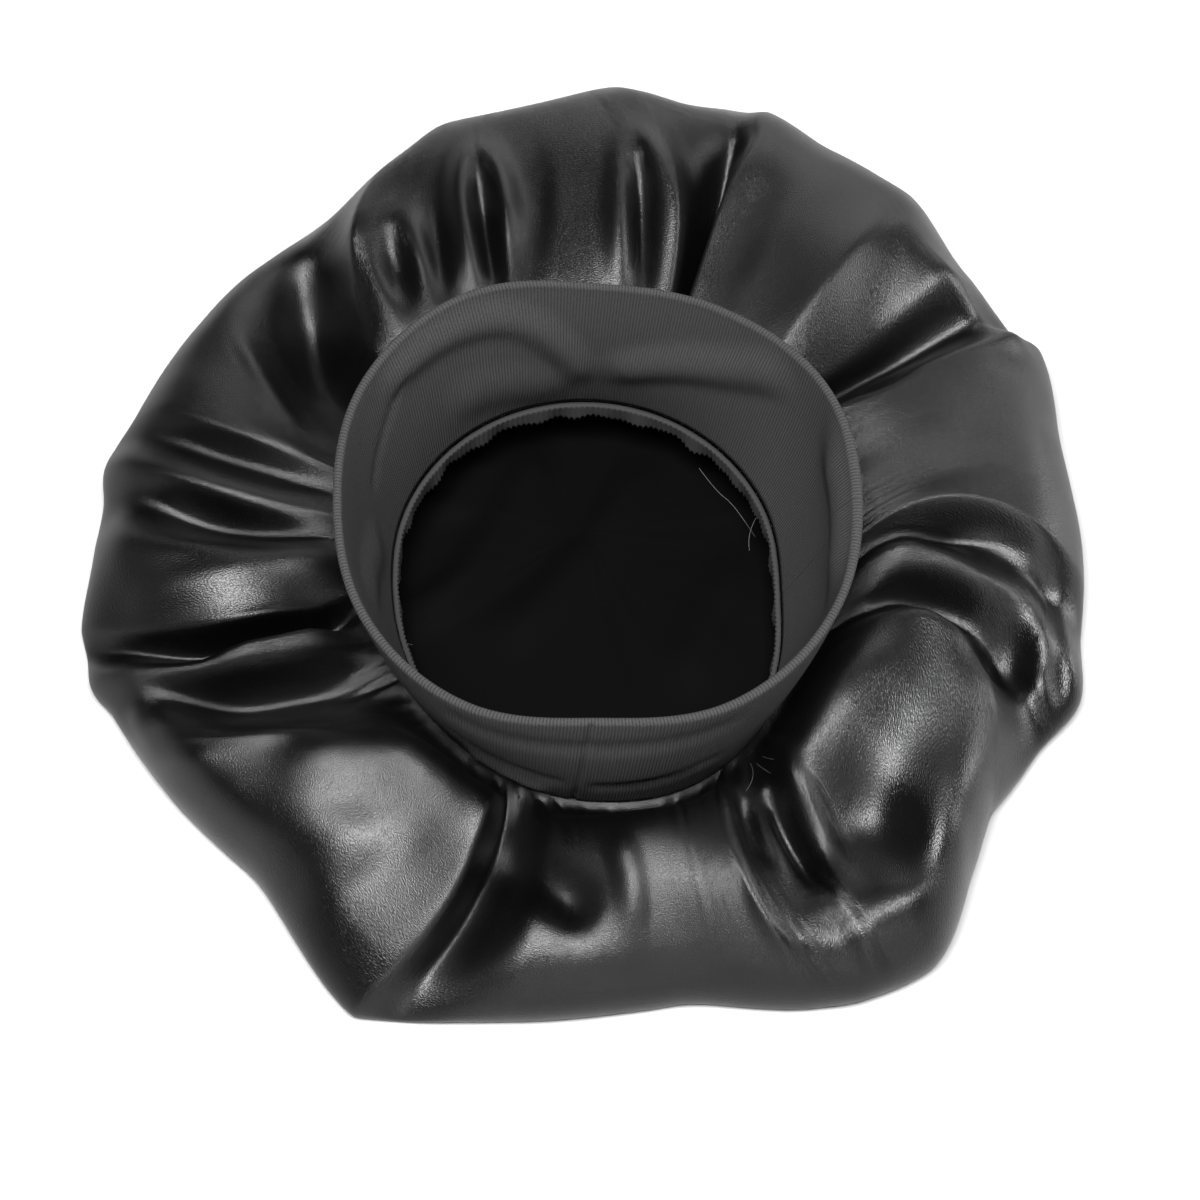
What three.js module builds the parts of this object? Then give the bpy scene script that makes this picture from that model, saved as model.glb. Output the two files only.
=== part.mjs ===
// A satin sleep bonnet lying on its crown with its opening up: a round satin bag, gathered into a
// wide double band of elastic knit, with the serged seam allowance hanging inside the gathers.
// Millimetres and degrees, +Z up. The origin is on the surface under the middle of the crown, +X is to
// the right and -Y is the side of the band's closing seam. Angles run anticlockwise from +X.
import * as THREE from "three";

// Crown
const CROWN_RADIUS = 172; // from the middle of the bonnet to its outline
const CROWN_CLOTH = 1.2; // wall of the satin bag
const CROWN_X = -0.6; // the outline's middle, from which the folds' tips are measured
const CROWN_Y = -1.3;
const PUFF_HEIGHT = 46; // how high the folds stand above the surface
const EDGE_FLOOR_SHARE = 0.93; // the turned-under edge meets the surface this far along a fold

// Neck, where the crown's gathers are sewn to the band
const NECK_RADIUS = 71;
const NECK_HEIGHT = 22; // above the surface
const NECK_SLANT_HEIGHT = 7; // the back of the neck lies higher than its middle, the front lower
const NECK_X = 0.4;
const NECK_Y = -37.3;

// Band
const BAND_HEIGHT = 62;
const BAND_WALL = 3; // two layers of knit
const RIM_RADIUS = 82;
const RIM_X = 4.9;
const RIM_Y = -36.8;
const SEAM_GAP = 0.3; // clearance between sewn pieces
const NECK_LEDGE = 6; // the crown runs level this far under the band's edge before it puffs up

// Serged seam allowance
const SERGE_HEIGHT = 7;
const SERGE_WALL = 1.6;

// One row for each ridge or valley of the crown, anticlockwise. root is its direction from the neck's
// middle where it leaves the neck, tip its direction from the crown's middle where it meets the outline.
// reach and bow (sideways, anticlockwise) are shares of CROWN_RADIUS. near, mid and rim are heights
// beside the neck, halfway and before the outline, in shares of PUFF_HEIGHT. sharp is 0 for a
// rounded fold and 1 for a crease.
const FOLDS = [
  { name: "right_panel_front_edge", root: -13, tip: -9, reach: 1.01, bow: 0.16, near: 0.82, mid: 1.0, rim: 0.86, sharp: 0.9 },
  { name: "right_panel", root: 16, tip: 8, reach: 0.99, bow: 0.03, near: 0.84, mid: 0.94, rim: 0.8, sharp: 0 },
  { name: "right_panel_back_edge", root: 44, tip: 23, reach: 1.035, bow: -0.01, near: 0.8, mid: 0.94, rim: 0.78, sharp: 0.8 },
  { name: "right_back_valley", root: 47, tip: 27, reach: 1.01, bow: 0.03, near: 0.5, mid: 0.38, rim: 0.54, sharp: 0.4 },
  { name: "right_back_face", root: 50, tip: 36, reach: 1.0, bow: -0.02, near: 0.66, mid: 0.7, rim: 0.85, sharp: 0.1 },
  { name: "back_right_panel_edge", root: 53, tip: 48, reach: 1.055, bow: -0.02, near: 0.86, mid: 1.06, rim: 0.86, sharp: 0.8 },
  { name: "back_right_panel", root: 61, tip: 59, reach: 1.06, bow: 0.01, near: 0.82, mid: 0.96, rim: 0.84, sharp: 0 },
  { name: "back_right_panel_left_edge", root: 71, tip: 68, reach: 1.095, bow: 0.01, near: 0.82, mid: 1.0, rim: 0.86, sharp: 0.9 },
  { name: "back_valley", root: 73.5, tip: 72, reach: 1.09, bow: -0.03, near: 0.5, mid: 0.46, rim: 0.72, sharp: 0.2 },
  { name: "back_face", root: 75.5, tip: 79, reach: 1.06, bow: -0.08, near: 0.62, mid: 0.68, rim: 0.84, sharp: 0.2 },
  { name: "back_panel_right_edge", root: 78, tip: 88, reach: 1.08, bow: -0.13, near: 0.88, mid: 1.06, rim: 0.9, sharp: 0.9 },
  { name: "back_panel", root: 99, tip: 97, reach: 1.035, bow: 0, near: 0.96, mid: 1.02, rim: 0.86, sharp: 0 },
  { name: "back_panel_left", root: 119, tip: 106, reach: 1.03, bow: 0.04, near: 0.92, mid: 0.98, rim: 0.82, sharp: 0 },
  { name: "back_left_edge", root: 132, tip: 112, reach: 0.97, bow: 0.15, near: 0.84, mid: 1.0, rim: 0.8, sharp: 0.9 },
  { name: "back_left_valley", root: 138.5, tip: 128, reach: 0.93, bow: 0.13, near: 0.42, mid: 0.3, rim: 0.5, sharp: 0.1 },
  { name: "left_back_face", root: 144, tip: 146, reach: 0.93, bow: 0.12, near: 0.6, mid: 0.8, rim: 0.68, sharp: 0.3 },
  { name: "left_back_ridge", root: 148, tip: 163, reach: 0.945, bow: 0.04, near: 0.78, mid: 0.92, rim: 0.76, sharp: 0.2 },
  { name: "left_back_crease", root: 152, tip: 168, reach: 0.97, bow: 0.03, near: 0.54, mid: 0.56, rim: 0.56, sharp: 0 },
  { name: "left_ridge", root: 156.5, tip: 172, reach: 0.98, bow: 0.06, near: 0.72, mid: 0.84, rim: 0.7, sharp: 0.2 },
  { name: "left_valley", root: 160.5, tip: 176.5, reach: 0.97, bow: 0.05, near: 0.5, mid: 0.5, rim: 0.54, sharp: 0 },
  { name: "left_panel", root: 166, tip: 185, reach: 0.98, bow: 0.08, near: 0.84, mid: 0.94, rim: 0.76, sharp: 0 },
  { name: "left_panel_front_edge", root: 172, tip: 193.5, reach: 1.02, bow: 0.12, near: 0.78, mid: 0.92, rim: 0.56, sharp: 0.9 },
  { name: "left_front_valley", root: 178, tip: 196.5, reach: 1.02, bow: 0.08, near: 0.3, mid: 0.3, rim: 0.32, sharp: 0.3 },
  { name: "left_front_ridge", root: 191, tip: 201, reach: 1.03, bow: 0.07, near: 0.66, mid: 0.74, rim: 0.58, sharp: 0.1 },
  { name: "left_front_pocket", root: 204, tip: 206, reach: 1.01, bow: 0.05, near: 0.44, mid: 0.46, rim: 0.64, sharp: 0 },
  { name: "front_left_panel_back_edge", root: 219, tip: 213, reach: 1.0, bow: 0.07, near: 0.8, mid: 0.9, rim: 0.76, sharp: 0.4 },
  { name: "front_left_panel", root: 232, tip: 229, reach: 0.99, bow: 0.07, near: 1.04, mid: 0.84, rim: 0.78, sharp: 0 },
  { name: "front_left_panel_edge", root: 246, tip: 248, reach: 1.135, bow: 0.09, near: 0.9, mid: 0.94, rim: 0.56, sharp: 1 },
  { name: "front_left_valley", root: 250, tip: 252.5, reach: 1.11, bow: 0.04, near: 0.26, mid: 0.26, rim: 0.26, sharp: 0.3 },
  { name: "front_panel_left", root: 258, tip: 263, reach: 1.07, bow: 0.04, near: 0.62, mid: 0.74, rim: 0.74, sharp: 0 },
  { name: "front_panel", root: 284, tip: 279, reach: 1.045, bow: 0.01, near: 0.9, mid: 0.9, rim: 0.86, sharp: 0 },
  { name: "front_panel_right_edge", root: 308, tip: 293, reach: 1.125, bow: -0.08, near: 0.8, mid: 0.94, rim: 0.84, sharp: 1 },
  { name: "front_right_valley", root: 313, tip: 297, reach: 1.15, bow: -0.03, near: 0.5, mid: 0.5, rim: 0.62, sharp: 0.4 },
  { name: "front_right_lobe", root: 322, tip: 304, reach: 1.165, bow: -0.02, near: 0.88, mid: 0.62, rim: 0.86, sharp: 0 },
  { name: "right_front_panel", root: 330, tip: 314, reach: 1.07, bow: 0.02, near: 1.0, mid: 0.85, rim: 0.88, sharp: 0 },
  { name: "right_front_panel_edge", root: 338, tip: 321, reach: 1.015, bow: 0.2, near: 0.84, mid: 0.96, rim: 0.78, sharp: 0.7 },
  { name: "right_front_valley", root: 340.5, tip: 330, reach: 1.02, bow: 0.19, near: 0.54, mid: 0.4, rim: 0.44, sharp: 0.2 },
  { name: "right_front_tuck", root: 343, tip: 337.5, reach: 1.055, bow: 0.18, near: 0.7, mid: 0.78, rim: 0.66, sharp: 0.2 },
  { name: "right_valley", root: 345, tip: 345, reach: 1.02, bow: 0.17, near: 0.6, mid: 0.66, rim: 0.56, sharp: 0.2 },
];

// Gathers and dents that end before the outline. at is their direction from the neck's middle where they
// start, turn how many degrees it changes to their end, spread their half width in degrees, from and to
// their ends as shares of the way to the outline, and lift their height as a share of PUFF_HEIGHT, below
// zero for a dent.
const GATHERS = [
  { name: "back_right_dent", at: 65, turn: 2, spread: 5, from: 0.2, to: 0.8, lift: -0.16 },
  { name: "back_pocket", at: 87, turn: 2, spread: 4, from: 0.02, to: 0.7, lift: -0.28 },
  { name: "back_left_gather", at: 108, turn: 2, spread: 7, from: 0.06, to: 0.82, lift: 0.14 },
  { name: "back_left_pocket", at: 122, turn: -2, spread: 5, from: 0.02, to: 0.66, lift: -0.24 },
  { name: "front_left_pocket", at: 205, turn: 2, spread: 5, from: 0.2, to: 0.86, lift: -0.12 },
  { name: "front_pocket", at: 262, turn: 14, spread: 6, from: 0.06, to: 0.7, lift: -0.3 },
  { name: "front_right_gather", at: 316, turn: -2, spread: 3.5, from: 0.1, to: 0.72, lift: 0.2 },
];

// The band's shape every 30 degrees: rim and neck are shares of RIM_RADIUS and NECK_RADIUS, and belly
// is how far the wall bulges outwards halfway up, as a share of BAND_HEIGHT.
const BAND_SECTIONS = [
  { at: 0, rim: 1.02, neck: 0.95, belly: 0.03 },
  { at: 30, rim: 1.03, neck: 1.0, belly: 0.04 },
  { at: 60, rim: 0.98, neck: 1.04, belly: -0.02 },
  { at: 90, rim: 0.955, neck: 1.06, belly: -0.06 },
  { at: 120, rim: 1.06, neck: 1.05, belly: -0.03 },
  { at: 150, rim: 1.065, neck: 1.0, belly: 0.01 },
  { at: 180, rim: 1.02, neck: 0.93, belly: 0.03 },
  { at: 210, rim: 1.03, neck: 0.92, belly: 0.02 },
  { at: 240, rim: 1.01, neck: 0.95, belly: 0.03 },
  { at: 270, rim: 0.94, neck: 1.02, belly: 0.03 },
  { at: 300, rim: 1.01, neck: 1.07, belly: 0.01 },
  { at: 330, rim: 1.03, neck: 1.02, belly: 0.03 },
];

// Fineness of the facets
const DEGREES_PER_CROWN_FACET = 4.2;
const CROWN_ROWS = 16;
const RING_COLUMNS = 72;
const BAND_ROWS = 6;
const RIM_FACETS = 4;

const TURN = 360;
const radians = THREE.MathUtils.degToRad;

// A row of FOLDS, counted on past the last one all round the crown.
function foldRow(k) {
  const turns = Math.floor(k / FOLDS.length);
  const fold = FOLDS[k - turns * FOLDS.length];
  return { ...fold, root: fold.root + turns * TURN, tip: fold.tip + turns * TURN };
}

const placeOf = (fold) => (fold.root + fold.tip) / 2;

// How fast a column rises between a row and the next, per degree.
function riseAfter(column, k) {
  const [fold, next] = [foldRow(k), foldRow(k + 1)];
  return (next[column] - fold[column]) / (placeOf(next) - placeOf(fold));
}

// A column's slope beside a row: one slope for both sides of a rounded fold, each side's own at a crease.
function slopeBeside(column, k, after) {
  const [before, behind] = [riseAfter(column, k - 1), riseAfter(column, k)];
  const rounded = before * behind > 0 ? (2 * before * behind) / (before + behind) : 0;
  return THREE.MathUtils.lerp(rounded, after ? behind : before, foldRow(k).sharp);
}

// A column's value at a share of the way from a row to the next, on a cubic with those slopes.
function foldValue(column, k, share) {
  const [fold, next] = [foldRow(k), foldRow(k + 1)];
  const span = placeOf(next) - placeOf(fold);
  const [start, end] = [span * slopeBeside(column, k, true), span * slopeBeside(column, k + 1, false)];
  const rise = next[column] - fold[column];
  const rest = 1 - share;
  const ease = share * share * (3 - 2 * share);
  return fold[column] + rise * ease + start * share * rest * rest - end * share * share * rest;
}

// The value at an angle of a column of BAND_SECTIONS, smooth all round.
function bandValue(column, angle) {
  const step = TURN / BAND_SECTIONS.length;
  const place = (((angle % TURN) + TURN) % TURN) / step;
  const row = Math.floor(place);
  const at = (k) => BAND_SECTIONS[(row + k + BAND_SECTIONS.length) % BAND_SECTIONS.length][column];
  const curve = new THREE.SplineCurve([-1, 0, 1, 2].map((k) => new THREE.Vector2(k, at(k))));
  return curve.getPoint((1 + place - row) / 3).y;
}

const direction = (angle) => new THREE.Vector3(Math.cos(radians(angle)), Math.sin(radians(angle)), 0);

const neckHeight = (angle) => NECK_HEIGHT + NECK_SLANT_HEIGHT * Math.sin(radians(angle));

// The middle of the sewn line between crown and band.
function neckPoint(angle) {
  const middle = new THREE.Vector3(NECK_X, NECK_Y, neckHeight(angle));
  return middle.addScaledVector(direction(angle), NECK_RADIUS * bandValue("neck", angle));
}

function rimPoint(angle) {
  const middle = new THREE.Vector3(RIM_X, RIM_Y, neckHeight(angle) + BAND_HEIGHT);
  return middle.addScaledVector(direction(angle), RIM_RADIUS * bandValue("rim", angle));
}

// A closed mesh from rings of points: each ring is an array of as many points, and each ring is joined
// to the next. The faces point out where rings turn anticlockwise and the loop runs down the outside.
function meshFromRings(rings, caps) {
  const columns = rings[0].length;
  const points = rings.flat();
  const faces = [];
  const index = (ring, column) => ring * columns + (column % columns);
  const joins = caps ? rings.length - 1 : rings.length;
  for (let ring = 0; ring < joins; ring += 1) {
    const next = (ring + 1) % rings.length;
    if (caps && caps.skip === ring) continue;
    for (let column = 0; column < columns; column += 1) {
      const a = index(ring, column);
      const b = index(ring, column + 1);
      const c = index(next, column + 1);
      const d = index(next, column);
      faces.push(a, d, b, b, d, c);
    }
  }
  if (caps) {
    for (const [ring, centre, up] of caps.fans) {
      const middle = points.push(centre) - 1;
      for (let column = 0; column < columns; column += 1) {
        const a = index(ring, column);
        const b = index(ring, column + 1);
        faces.push(...(up ? [a, b, middle] : [b, a, middle]));
      }
    }
  }
  const geometry = new THREE.BufferGeometry();
  geometry.setAttribute("position", new THREE.Float32BufferAttribute(points.flatMap((p) => [p.x, p.y, p.z]), 3));
  geometry.setIndex(faces);
  geometry.computeVertexNormals();
  return geometry;
}

// The crown's columns all round: each interval between two rows of FOLDS is cut into facets.
function crownColumns() {
  const columns = [];
  for (let k = 0; k < FOLDS.length; k += 1) {
    const span = placeOf(foldRow(k + 1)) - placeOf(foldRow(k));
    const facets = Math.max(2, Math.round(span / DEGREES_PER_CROWN_FACET));
    for (let j = 0; j < facets; j += 1) {
      const value = (column) => foldValue(column, k, j / facets);
      columns.push({
        root: value("root"),
        tip: value("tip"),
        reach: value("reach") * CROWN_RADIUS,
        bow: value("bow") * CROWN_RADIUS,
        near: value("near") * PUFF_HEIGHT,
        mid: value("mid") * PUFF_HEIGHT,
        rim: value("rim") * PUFF_HEIGHT,
      });
    }
  }
  return columns;
}

// How much the gathers and dents lift the crown at a direction and a share of the way out.
function gatherLift(angle, share) {
  let lift = 0;
  for (const gather of GATHERS) {
    const along = (share - gather.from) / (gather.to - gather.from);
    const line = gather.at + gather.turn * along;
    const across = (((angle - line + 1.5 * TURN) % TURN) - TURN / 2) / gather.spread;
    if (Math.abs(across) >= 1 || along <= 0 || along >= 1) continue;
    const bell = Math.cos((across * Math.PI) / 2) ** 2;
    lift += gather.lift * PUFF_HEIGHT * bell * Math.sin(Math.PI * along) ** 0.8;
  }
  return lift;
}

function outlinePoint(column) {
  return new THREE.Vector3(CROWN_X, CROWN_Y, 0).addScaledVector(direction(column.tip), column.reach);
}

// A fold's section: x is the way out from the neck, z the height, over the outline and under to the surface.
function sectionOf(column) {
  const start = neckHeight(column.root) - SEAM_GAP;
  const foot = neckPoint(column.root).setZ(0);
  const way = outlinePoint(column).distanceTo(foot);
  const knots = [
    [0, start],
    [NECK_LEDGE / way, start],
    [0.24, column.near],
    [0.56, column.mid],
    [0.84, column.rim],
    [0.96, 0.62 * column.rim],
    [1, 0.3 * column.rim],
    [0.985, 0.06 * column.rim],
    [EDGE_FLOOR_SHARE, 0],
  ];
  const points = knots.map(([share, height]) => new THREE.Vector3(share * way, 0, height));
  return { way, curve: new THREE.CatmullRomCurve3(points, false, "centripetal") };
}

// The crown's outer rings from the neck to where it lies on the surface.
function crownRings(columns) {
  const sections = columns.map(sectionOf);
  const rings = [];
  for (let row = 0; row <= CROWN_ROWS; row += 1) {
    rings.push(
      columns.map((column, k) => {
        const place = sections[k].curve.getPoint(row / CROWN_ROWS);
        const share = place.x / sections[k].way;
        const from = neckPoint(column.root);
        const to = outlinePoint(column);
        const flat = to.clone().sub(from).setZ(0);
        const side = new THREE.Vector3(-flat.y, flat.x, 0).normalize();
        const point = from.clone().setZ(0).addScaledVector(flat, share);
        point.addScaledVector(side, 4 * column.bow * share * (1 - share));
        const top = row < CROWN_ROWS / 2 + 2 ? gatherLift(column.root, share) : 0;
        point.z = Math.max(0, place.z + top);
        return point;
      }),
    );
  }
  return rings;
}

// The crown: the outer rings, moved in along their normals for the inner side of the cloth.
function crownGeometry() {
  const outer = crownRings(crownColumns());
  const count = outer[0].length;
  const last = outer.length - 1;
  const inner = outer.map((ring, row) =>
    ring.map((point, k) => {
      if (row === last) return point.clone().setZ(CROWN_CLOTH);
      const along = ring[(k + 1) % count].clone().sub(ring[(k + count - 1) % count]);
      const down = outer[row + 1][k].clone().sub(outer[Math.max(0, row - 1)][k]);
      const normal = down.cross(along).normalize();
      if (row === 0) normal.setZ(0).normalize();
      return point.clone().addScaledVector(normal, -CROWN_CLOTH);
    }),
  );
  const rings = [...inner.reverse(), ...outer];
  const centreIn = new THREE.Vector3(0, 0, CROWN_CLOTH);
  const centreOut = new THREE.Vector3(0, 0, 0);
  return meshFromRings(rings, { fans: [[0, centreIn, true], [rings.length - 1, centreOut, false]] });
}

// The band: its wall's middle runs from neck to rim with a belly, and turns over in a round rim.
function bandGeometry() {
  const half = BAND_WALL / 2;
  const angles = Array.from({ length: RING_COLUMNS }, (_, k) => (k * TURN) / RING_COLUMNS);
  const wallRing = (share, side) =>
    angles.map((angle) => {
      const point = neckPoint(angle).lerp(rimPoint(angle), share);
      const belly = bandValue("belly", angle) * BAND_HEIGHT * Math.sin(Math.PI * share);
      point.addScaledVector(direction(angle), belly + side * half);
      point.z += (1 - share) * SEAM_GAP - share * half;
      return point;
    });
  const outerRings = [];
  const innerRings = [];
  for (let row = 0; row <= BAND_ROWS; row += 1) {
    outerRings.unshift(wallRing(row / BAND_ROWS, 1));
    innerRings.push(wallRing(row / BAND_ROWS, -1));
  }
  const rimRings = [];
  for (let facet = 1; facet < RIM_FACETS; facet += 1) {
    const turn = (Math.PI * facet) / RIM_FACETS;
    const ring = wallRing(1, -Math.cos(turn));
    rimRings.push(ring.map((point) => point.setZ(point.z + half * Math.sin(turn))));
  }
  return meshFromRings([...innerRings, ...rimRings, ...outerRings]);
}

// The serged allowance: a thin ring hanging inside the gathers just under the band.
function sergeGeometry() {
  const angles = Array.from({ length: RING_COLUMNS }, (_, k) => (k * TURN) / RING_COLUMNS);
  const inset = CROWN_CLOTH + SEAM_GAP;
  const ring = (depth, below) =>
    angles.map((angle) => {
      const point = neckPoint(angle).addScaledVector(direction(angle), -inset - depth);
      point.z -= SEAM_GAP + below;
      return point;
    });
  return meshFromRings([
    ring(SERGE_WALL, SERGE_HEIGHT),
    ring(SERGE_WALL, 0),
    ring(0, 0),
    ring(0, SERGE_HEIGHT),
  ]);
}

const satin = new THREE.MeshStandardMaterial({ color: 0x17171a, roughness: 0.34, metalness: 0, side: THREE.DoubleSide });
const knit = new THREE.MeshStandardMaterial({ color: 0x222224, roughness: 0.9, metalness: 0 });
const thread = new THREE.MeshStandardMaterial({ color: 0x1b1b1d, roughness: 0.8, metalness: 0 });

function piece(name, geometry, material) {
  const mesh = new THREE.Mesh(geometry, material);
  mesh.name = name;
  return mesh;
}

const bonnet = new THREE.Group();
bonnet.add(piece("crown", crownGeometry(), satin));
bonnet.add(piece("band", bandGeometry(), knit));
bonnet.add(piece("seam_allowance", sergeGeometry(), thread));

export default bonnet;
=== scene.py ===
# %% [markdown]
# # A black satin sleep bonnet
# The bonnet lies on its crown with its opening up. A round bag of satin is gathered into a wide double
# band of elastic knit, and the overlocked seam hangs just inside the gathers. This lesson dresses the
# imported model: each sewn part gets its cloth, its folds and its stitches.

# %% Load the frame
import bpy
import math
import numpy as np
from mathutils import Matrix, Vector


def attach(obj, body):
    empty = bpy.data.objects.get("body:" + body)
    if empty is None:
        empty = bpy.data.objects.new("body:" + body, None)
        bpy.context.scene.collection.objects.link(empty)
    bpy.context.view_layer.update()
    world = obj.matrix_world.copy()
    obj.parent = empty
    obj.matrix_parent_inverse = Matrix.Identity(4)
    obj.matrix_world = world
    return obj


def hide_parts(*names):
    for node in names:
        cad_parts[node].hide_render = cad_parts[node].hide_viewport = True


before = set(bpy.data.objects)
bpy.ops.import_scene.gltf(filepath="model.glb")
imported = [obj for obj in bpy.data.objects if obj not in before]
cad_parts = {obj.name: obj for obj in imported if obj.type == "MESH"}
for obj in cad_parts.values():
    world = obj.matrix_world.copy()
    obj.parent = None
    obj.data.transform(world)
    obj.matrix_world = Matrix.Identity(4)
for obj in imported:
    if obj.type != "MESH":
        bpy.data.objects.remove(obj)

bpy.ops.object.select_all(action="DESELECT")
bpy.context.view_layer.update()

# %% [markdown]
# ## The studio
# The photograph looks down at the bonnet from its front at about 60 degrees, through a long lens. The
# camera comes first, then a pale floor and large soft lights. Black satin shows little colour of its
# own: its shape is read from the lights that it mirrors, so each light is placed for a highlight.

# %% Camera
ELEVATION = math.radians(60)
DISTANCE = 1.1
LENS = 95.65  # millimetres, on a sensor 36 mm wide
AIM = Vector((0.0056, -0.0263, 0))

bpy.ops.object.camera_add(
    location=AIM + DISTANCE * Vector((0, -math.cos(ELEVATION), math.sin(ELEVATION))),
    rotation=(math.pi / 2 - ELEVATION, 0, 0),
)
camera = bpy.context.object
camera.data.lens = LENS
camera.data.sensor_width = 36
bpy.context.scene.camera = camera
print("camera at", [round(v, 3) for v in camera.location])

# %% Floor
FLOOR_WIDTH = 6  # metres, so its edges stay out of view
bpy.ops.mesh.primitive_plane_add(size=FLOOR_WIDTH)
floor = bpy.context.object
floor.name = "floor"
floor_paint = bpy.data.materials.new("floor paper")
floor_paint.use_nodes = True
paper = floor_paint.node_tree.nodes["Principled BSDF"]
paper.inputs["Base Color"].default_value = (0.35, 0.35, 0.35, 1)
paper.inputs["Roughness"].default_value = 0.9
paper.inputs["Specular IOR Level"].default_value = 0.1
floor.data.materials.append(floor_paint)

# %% Lights
# name, place, width and height in metres, watts
LIGHTS = [
    ("front", (-0.08, -0.45, 1.4), 0.8, 0.5, 62),
    ("low front", (0.15, -1.3, 0.42), 1.0, 0.22, 6),
    ("back", (0.3, 1.2, 0.5), 1.2, 0.4, 6),
    ("right", (1.3, 0.3, 0.3), 0.4, 1.2, 19),
]
for name, place, width, height, watts in LIGHTS:
    bpy.ops.object.light_add(type="AREA", location=place)
    lamp = bpy.context.object
    lamp.name = name
    lamp.data.shape = "RECTANGLE"
    lamp.data.size = width
    lamp.data.size_y = height
    lamp.data.energy = watts
    lamp.rotation_euler = (-Vector(place)).to_track_quat("-Z", "Y").to_euler()

world = bpy.data.worlds.new("studio")
bpy.context.scene.world = world
world.use_nodes = True
world.node_tree.nodes["Background"].inputs["Color"].default_value = (1, 1, 1, 1)
world.node_tree.nodes["Background"].inputs["Strength"].default_value = 0.05
bpy.context.scene.view_settings.view_transform = "Standard"
bpy.context.scene.view_settings.look = "Medium High Contrast"
print("lights:", len(LIGHTS))

# %% [markdown]
# ## The crown's folds
# On the real bonnet the satin falls into a ring of raised panels with deep valleys between them. Each
# ridge and valley runs from the neck to the outline, so one row of a table can describe it: where it
# leaves the neck, where it meets the outline, how it bows and how high it stands. A simulation would
# give other folds each time, so the folds are charted and the cloth is spread over them.

# %% Sizes of the crown and the band
# in millimetres; each X and Y is the middle of the outline, the neck or the rim
MM = 0.001
CROWN_RADIUS = 172
CROWN_CLOTH = 1.2
CROWN_X = -0.6
CROWN_Y = -1.3
PUFF_HEIGHT = 46
EDGE_FLOOR_SHARE = 0.93
NECK_RADIUS = 71
NECK_HEIGHT = 22
NECK_SLANT_HEIGHT = 7
NECK_X = 0.4
NECK_Y = -37.3
NECK_LEDGE = 6
BAND_HEIGHT = 62
BAND_WALL = 3
RIM_RADIUS = 82
RIM_X = 4.9
RIM_Y = -36.8
SEAM_GAP = 0.3

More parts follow.
